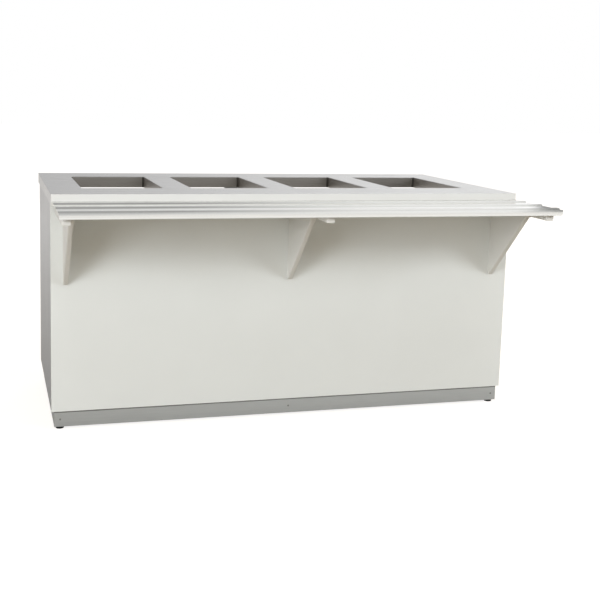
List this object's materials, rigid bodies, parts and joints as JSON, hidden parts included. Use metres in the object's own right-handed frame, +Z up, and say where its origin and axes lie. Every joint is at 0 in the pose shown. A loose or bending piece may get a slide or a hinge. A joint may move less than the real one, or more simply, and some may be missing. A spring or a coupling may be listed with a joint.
{
  "type": "buffet counter",
  "caption": "Free-standing buffet counter with four open food wells in a stainless worktop, a white front panel and a full-length ribbed tray slide on gusset brackets.",
  "frame": {"origin": "on the floor, under the middle of the whole object's box", "axes": "+X along the counter to the customer's right, -Y towards the customer and the tray slide, +Z up"},
  "size_m": [1.8, 1.265, 0.87],
  "materials": {
    "brushed_stainless": "brushed along the length",
    "tray_stainless": "bright polished sheet",
    "white_paint": "satin white powder coat",
    "frame_tube": "mill finish tube",
    "black_plastic": "moulded",
    "zinc_steel": "zinc plated",
    "screw_steel": "turned"
  },
  "bodies": {
    "counter": {"worktop": "brushed_stainless", "left_side_panel": "brushed_stainless", "right_side_panel": "brushed_stainless", "base_shelf": "brushed_stainless", "centre_stile": "brushed_stainless", "plinth_front": "brushed_stainless", "plinth_back": "brushed_stainless", "plinth_left": "brushed_stainless", "plinth_right": "brushed_stainless", "well_collar_1": "brushed_stainless", "well_collar_2": "brushed_stainless", "well_collar_3": "brushed_stainless", "well_collar_4": "brushed_stainless", "tray_slide": "tray_stainless", "front_fascia": "white_paint", "front_panel": "white_paint", "gusset_left": "white_paint", "gusset_middle": "white_paint", "gusset_right": "white_paint", "tray_arm_left": "white_paint", "tray_arm_middle": "white_paint", "tray_arm_right": "white_paint", "base_frame": "frame_tube", "frame_posts": "frame_tube", "top_frame": "frame_tube", "foot_inserts": "zinc_steel", "bracket_bolts": "zinc_steel", "stile_screws": "zinc_steel", "plinth_screws": "screw_steel"},
    "foot_pad_front_left": {"foot_pad_front_left": "black_plastic"},
    "foot_pad_front_right": {"foot_pad_front_right": "black_plastic"},
    "foot_pad_back_left": {"foot_pad_back_left": "black_plastic"},
    "foot_pad_back_right": {"foot_pad_back_right": "black_plastic"},
    "foot_stem_front_left": {"foot_stem_front_left": "zinc_steel"},
    "foot_stem_front_right": {"foot_stem_front_right": "zinc_steel"},
    "foot_stem_back_left": {"foot_stem_back_left": "zinc_steel"},
    "foot_stem_back_right": {"foot_stem_back_right": "zinc_steel"}
  },
  "joints": [
    {"name": "foot_front_left_height", "type": "slide", "parent": "counter", "child": "foot_pad_front_left", "axis": [0, 0, -1], "range_m": [0, 0.02]},
    {"name": "foot_front_left_screw", "type": "hinge", "parent": "foot_pad_front_left", "child": "foot_stem_front_left", "pos_m": [-0.8685, -0.198, 0.03], "axis": [0, 0, -1], "range_deg": [0, 4802]},
    {"name": "foot_front_right_height", "type": "slide", "parent": "counter", "child": "foot_pad_front_right", "axis": [0, 0, -1], "range_m": [0, 0.02]},
    {"name": "foot_front_right_screw", "type": "hinge", "parent": "foot_pad_front_right", "child": "foot_stem_front_right", "pos_m": [0.8685, -0.198, 0.03], "axis": [0, 0, -1], "range_deg": [0, 4802]},
    {"name": "foot_back_left_height", "type": "slide", "parent": "counter", "child": "foot_pad_back_left", "axis": [0, 0, -1], "range_m": [0, 0.02]},
    {"name": "foot_back_left_screw", "type": "hinge", "parent": "foot_pad_back_left", "child": "foot_stem_back_left", "pos_m": [-0.8685, 0.441, 0.03], "axis": [0, 0, -1], "range_deg": [0, 4802]},
    {"name": "foot_back_right_height", "type": "slide", "parent": "counter", "child": "foot_pad_back_right", "axis": [0, 0, -1], "range_m": [0, 0.02]},
    {"name": "foot_back_right_screw", "type": "hinge", "parent": "foot_pad_back_right", "child": "foot_stem_back_right", "pos_m": [0.8685, 0.441, 0.03], "axis": [0, 0, -1], "range_deg": [0, 4802]}
  ],
  "couplings": [
    {"joint": "foot_front_left_screw", "follows": "foot_front_left_height", "rad_per_m": 4188.8},
    {"joint": "foot_front_right_screw", "follows": "foot_front_right_height", "rad_per_m": 4188.8},
    {"joint": "foot_back_left_screw", "follows": "foot_back_left_height", "rad_per_m": 4188.8},
    {"joint": "foot_back_right_screw", "follows": "foot_back_right_height", "rad_per_m": 4188.8}
  ]
}
